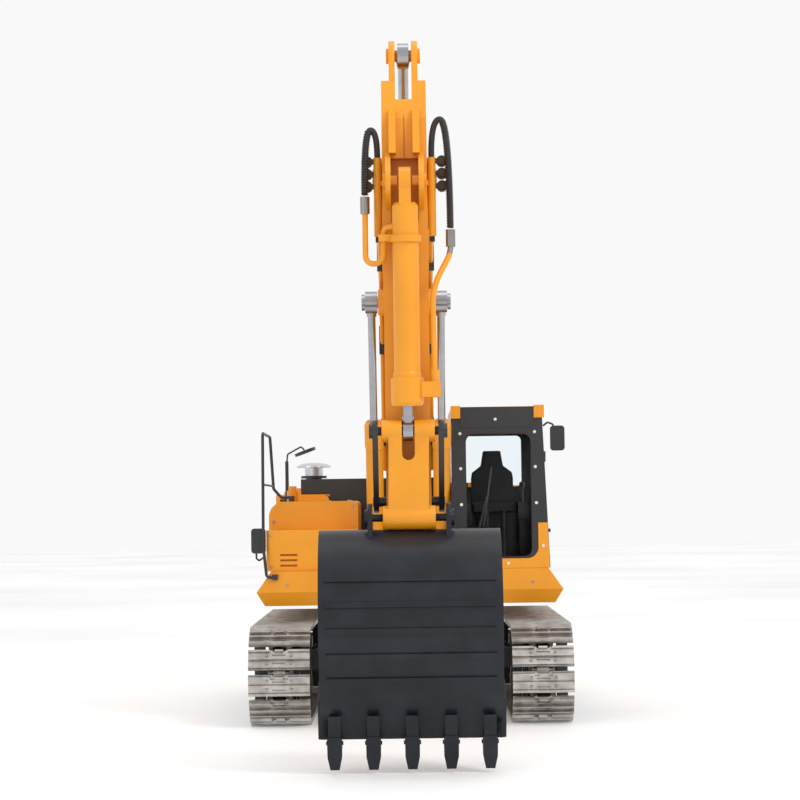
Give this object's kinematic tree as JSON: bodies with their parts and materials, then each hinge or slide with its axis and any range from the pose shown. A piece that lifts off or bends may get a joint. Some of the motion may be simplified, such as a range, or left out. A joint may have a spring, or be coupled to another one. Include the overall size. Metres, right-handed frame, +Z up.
{
  "type": "tracked excavator model",
  "caption": "Yellow 1:14 tracked excavator model with slewing upper structure, cab, boom, stick and bucket worked by hydraulic cylinders.",
  "frame": {"origin": "middle of the machine's bounding box, on the ground plane", "axes": "+Z up, the bucket reaches forward along -Y, +X to the machine's left"},
  "size_m": [0.228, 0.7414, 0.4335],
  "materials": {
    "yellow_paint": "satin",
    "black_paint": "satin",
    "bucket_paint": "satin",
    "cab_black": "matte",
    "bare_steel": "brushed",
    "chrome_rod": "polished",
    "clear_glass": "clear",
    "hose_rubber": "matte",
    "seat_vinyl": "matte",
    "fittings": "satin",
    "aluminium_body": "satin",
    "white_screws": "matte"
  },
  "bodies": {
    "undercarriage": {"center_frame": "black_paint", "slew_ring_lower": "bare_steel", "track_shoes_left": "bare_steel", "track_shoes_right": "bare_steel", "track_chain_left": "bare_steel", "track_chain_right": "bare_steel", "track_frame_left": "black_paint", "track_frame_right": "black_paint", "track_rollers": "black_paint", "travel_motors": "black_paint"},
    "idler_wheel_left": {"idler_left": "bare_steel"},
    "idler_wheel_right": {"idler_right": "bare_steel"},
    "drive_left": {"sprocket_left": "black_paint"},
    "drive_right": {"sprocket_right": "black_paint"},
    "house": {"slew_platform": "yellow_paint", "slew_ring_upper": "bare_steel", "boom_bracket": "yellow_paint", "counterweight": "yellow_paint", "tool_box": "yellow_paint", "fuel_tank": "yellow_paint", "side_panels": "yellow_paint", "machine_bulkhead": "black_paint", "hydraulic_pump": "aluminium_body", "oil_tank": "aluminium_body", "battery": "fittings", "swing_motor": "aluminium_body", "cab_frame": "cab_black", "cab_roof": "yellow_paint", "cab_front_panel": "yellow_paint", "cab_glass": "clear_glass", "cab_screws": "white_screws", "seat": "seat_vinyl", "control_levers": "cab_black", "mirrors": "cab_black", "handrail": "cab_black", "exhaust_stack": "black_paint", "air_precleaner": "aluminium_body"},
    "hood": {"engine_hood": "yellow_paint"},
    "door": {"cab_door": "cab_black", "door_glass": "clear_glass"},
    "boom_body": {"boom": "yellow_paint", "boom_pins": "chrome_rod", "boom_pipes": "yellow_paint", "pipe_clamps": "black_paint"},
    "boom_cylinder_rods": {"boom_rods": "chrome_rod"},
    "boom_cylinder_barrels": {"boom_barrels": "yellow_paint"},
    "stick_body": {"stick": "yellow_paint", "stick_pins": "chrome_rod", "hose_ports": "fittings", "hose_left": "hose_rubber", "hose_right": "hose_rubber"},
    "stick_cylinder_rod": {"stick_rod": "chrome_rod"},
    "stick_cylinder_barrel": {"stick_barrel": "yellow_paint"},
    "rocker": {"rocker_links": "black_paint"},
    "link": {"bucket_link": "yellow_paint"},
    "bucket_cylinder_rod": {"bucket_rod": "chrome_rod"},
    "bucket_cylinder_barrel": {"bucket_barrel": "yellow_paint", "bucket_pipes": "yellow_paint"},
    "bucket_body": {"bucket": "bucket_paint", "bucket_teeth": "bucket_paint"}
  },
  "joints": [
    {"name": "swing", "type": "hinge", "parent": "undercarriage", "child": "house", "pos_m": [0, 0.12472, 0.072], "axis": [0, 0, 1], "continuous": true},
    {"name": "drive_left_spin", "type": "hinge", "parent": "undercarriage", "child": "drive_left", "pos_m": [0.0925, 0.26871, 0.035], "axis": [1, 0, 0], "continuous": true},
    {"name": "drive_right_spin", "type": "hinge", "parent": "undercarriage", "child": "drive_right", "pos_m": [-0.0925, 0.26871, 0.035], "axis": [1, 0, 0], "continuous": true},
    {"name": "idler_left_spin", "type": "hinge", "parent": "undercarriage", "child": "idler_wheel_left", "pos_m": [0.0925, -0.01929, 0.035], "axis": [1, 0, 0], "continuous": true},
    {"name": "idler_right_spin", "type": "hinge", "parent": "undercarriage", "child": "idler_wheel_right", "pos_m": [-0.0925, -0.01929, 0.035], "axis": [1, 0, 0], "continuous": true},
    {"name": "hood_lift", "type": "hinge", "parent": "house", "child": "hood", "pos_m": [0, 0.27271, 0.1742], "axis": [-1, 0, 0], "range_deg": [0, 60]},
    {"name": "door_swing", "type": "hinge", "parent": "house", "child": "door", "pos_m": [0.1026, 0.08392, 0.15], "axis": [0, 0, 1], "range_deg": [0, 95]},
    {"name": "boom_lift", "type": "hinge", "parent": "house", "child": "boom_body", "pos_m": [0, 0.09471, 0.13], "axis": [-1, 0, 0], "range_deg": [-25, 25]},
    {"name": "boom_rods_turn", "type": "hinge", "parent": "boom_body", "child": "boom_cylinder_rods", "pos_m": [0, -0.07529, 0.2955], "axis": [-1, 0, 0], "range_deg": [-1, 1]},
    {"name": "boom_barrels_slide", "type": "slide", "parent": "boom_cylinder_rods", "child": "boom_cylinder_barrels", "axis": [0, 0.4877, -0.873], "range_m": [-0.02934, 0.02934]},
    {"name": "stick_swing", "type": "hinge", "parent": "boom_body", "child": "stick_body", "pos_m": [0, -0.30928, 0.35], "axis": [-1, 0, 0], "range_deg": [-25, 25]},
    {"name": "stick_rod_turn", "type": "hinge", "parent": "stick_body", "child": "stick_cylinder_rod", "pos_m": [0, -0.30728, 0.4245], "axis": [-1, 0, 0], "range_deg": [-23.22, 23.22]},
    {"name": "stick_barrel_slide", "type": "slide", "parent": "stick_cylinder_rod", "child": "stick_cylinder_barrel", "axis": [0, 0.946, -0.3242], "range_m": [-0.03122, 0.03122]},
    {"name": "bucket_curl", "type": "hinge", "parent": "stick_body", "child": "bucket_body", "pos_m": [0, -0.31128, 0.123], "axis": [1, 0, 0], "range_deg": [0, 70]},
    {"name": "rocker_turn", "type": "hinge", "parent": "stick_body", "child": "rocker", "pos_m": [0, -0.31128, 0.157], "axis": [1, 0, 0], "range_deg": [0, 65.02]},
    {"name": "link_turn", "type": "hinge", "parent": "rocker", "child": "link", "pos_m": [0, -0.33328, 0.1985], "axis": [1, 0, 0], "range_deg": [-44.12, 0]},
    {"name": "bucket_rod_turn", "type": "hinge", "parent": "rocker", "child": "bucket_cylinder_rod", "pos_m": [0, -0.33328, 0.1985], "axis": [1, 0, 0], "range_deg": [-75.07, 0]},
    {"name": "bucket_barrel_slide", "type": "slide", "parent": "bucket_cylinder_rod", "child": "bucket_cylinder_barrel", "axis": [0, -0.0545, 0.9985], "range_m": [-0.0001, 0.04128]}
  ],
  "couplings": [
    {"joint": "idler_left_spin", "follows": "drive_left_spin", "ratio": 1},
    {"joint": "idler_right_spin", "follows": "drive_right_spin", "ratio": 1},
    {"joint": "boom_rods_turn", "follows": "boom_lift", "ratio": -0.0096},
    {"joint": "boom_barrels_slide", "follows": "boom_lift", "m_per_rad": 0.065697},
    {"joint": "stick_rod_turn", "follows": "stick_swing", "ratio": -0.9107},
    {"joint": "stick_barrel_slide", "follows": "stick_swing", "m_per_rad": -0.069918},
    {"joint": "rocker_turn", "follows": "bucket_curl", "ratio": 0.9107},
    {"joint": "link_turn", "follows": "bucket_curl", "ratio": -0.6179},
    {"joint": "bucket_rod_turn", "follows": "bucket_curl", "ratio": -1.0514},
    {"joint": "bucket_barrel_slide", "follows": "bucket_curl", "m_per_rad": 0.033044}
  ]
}
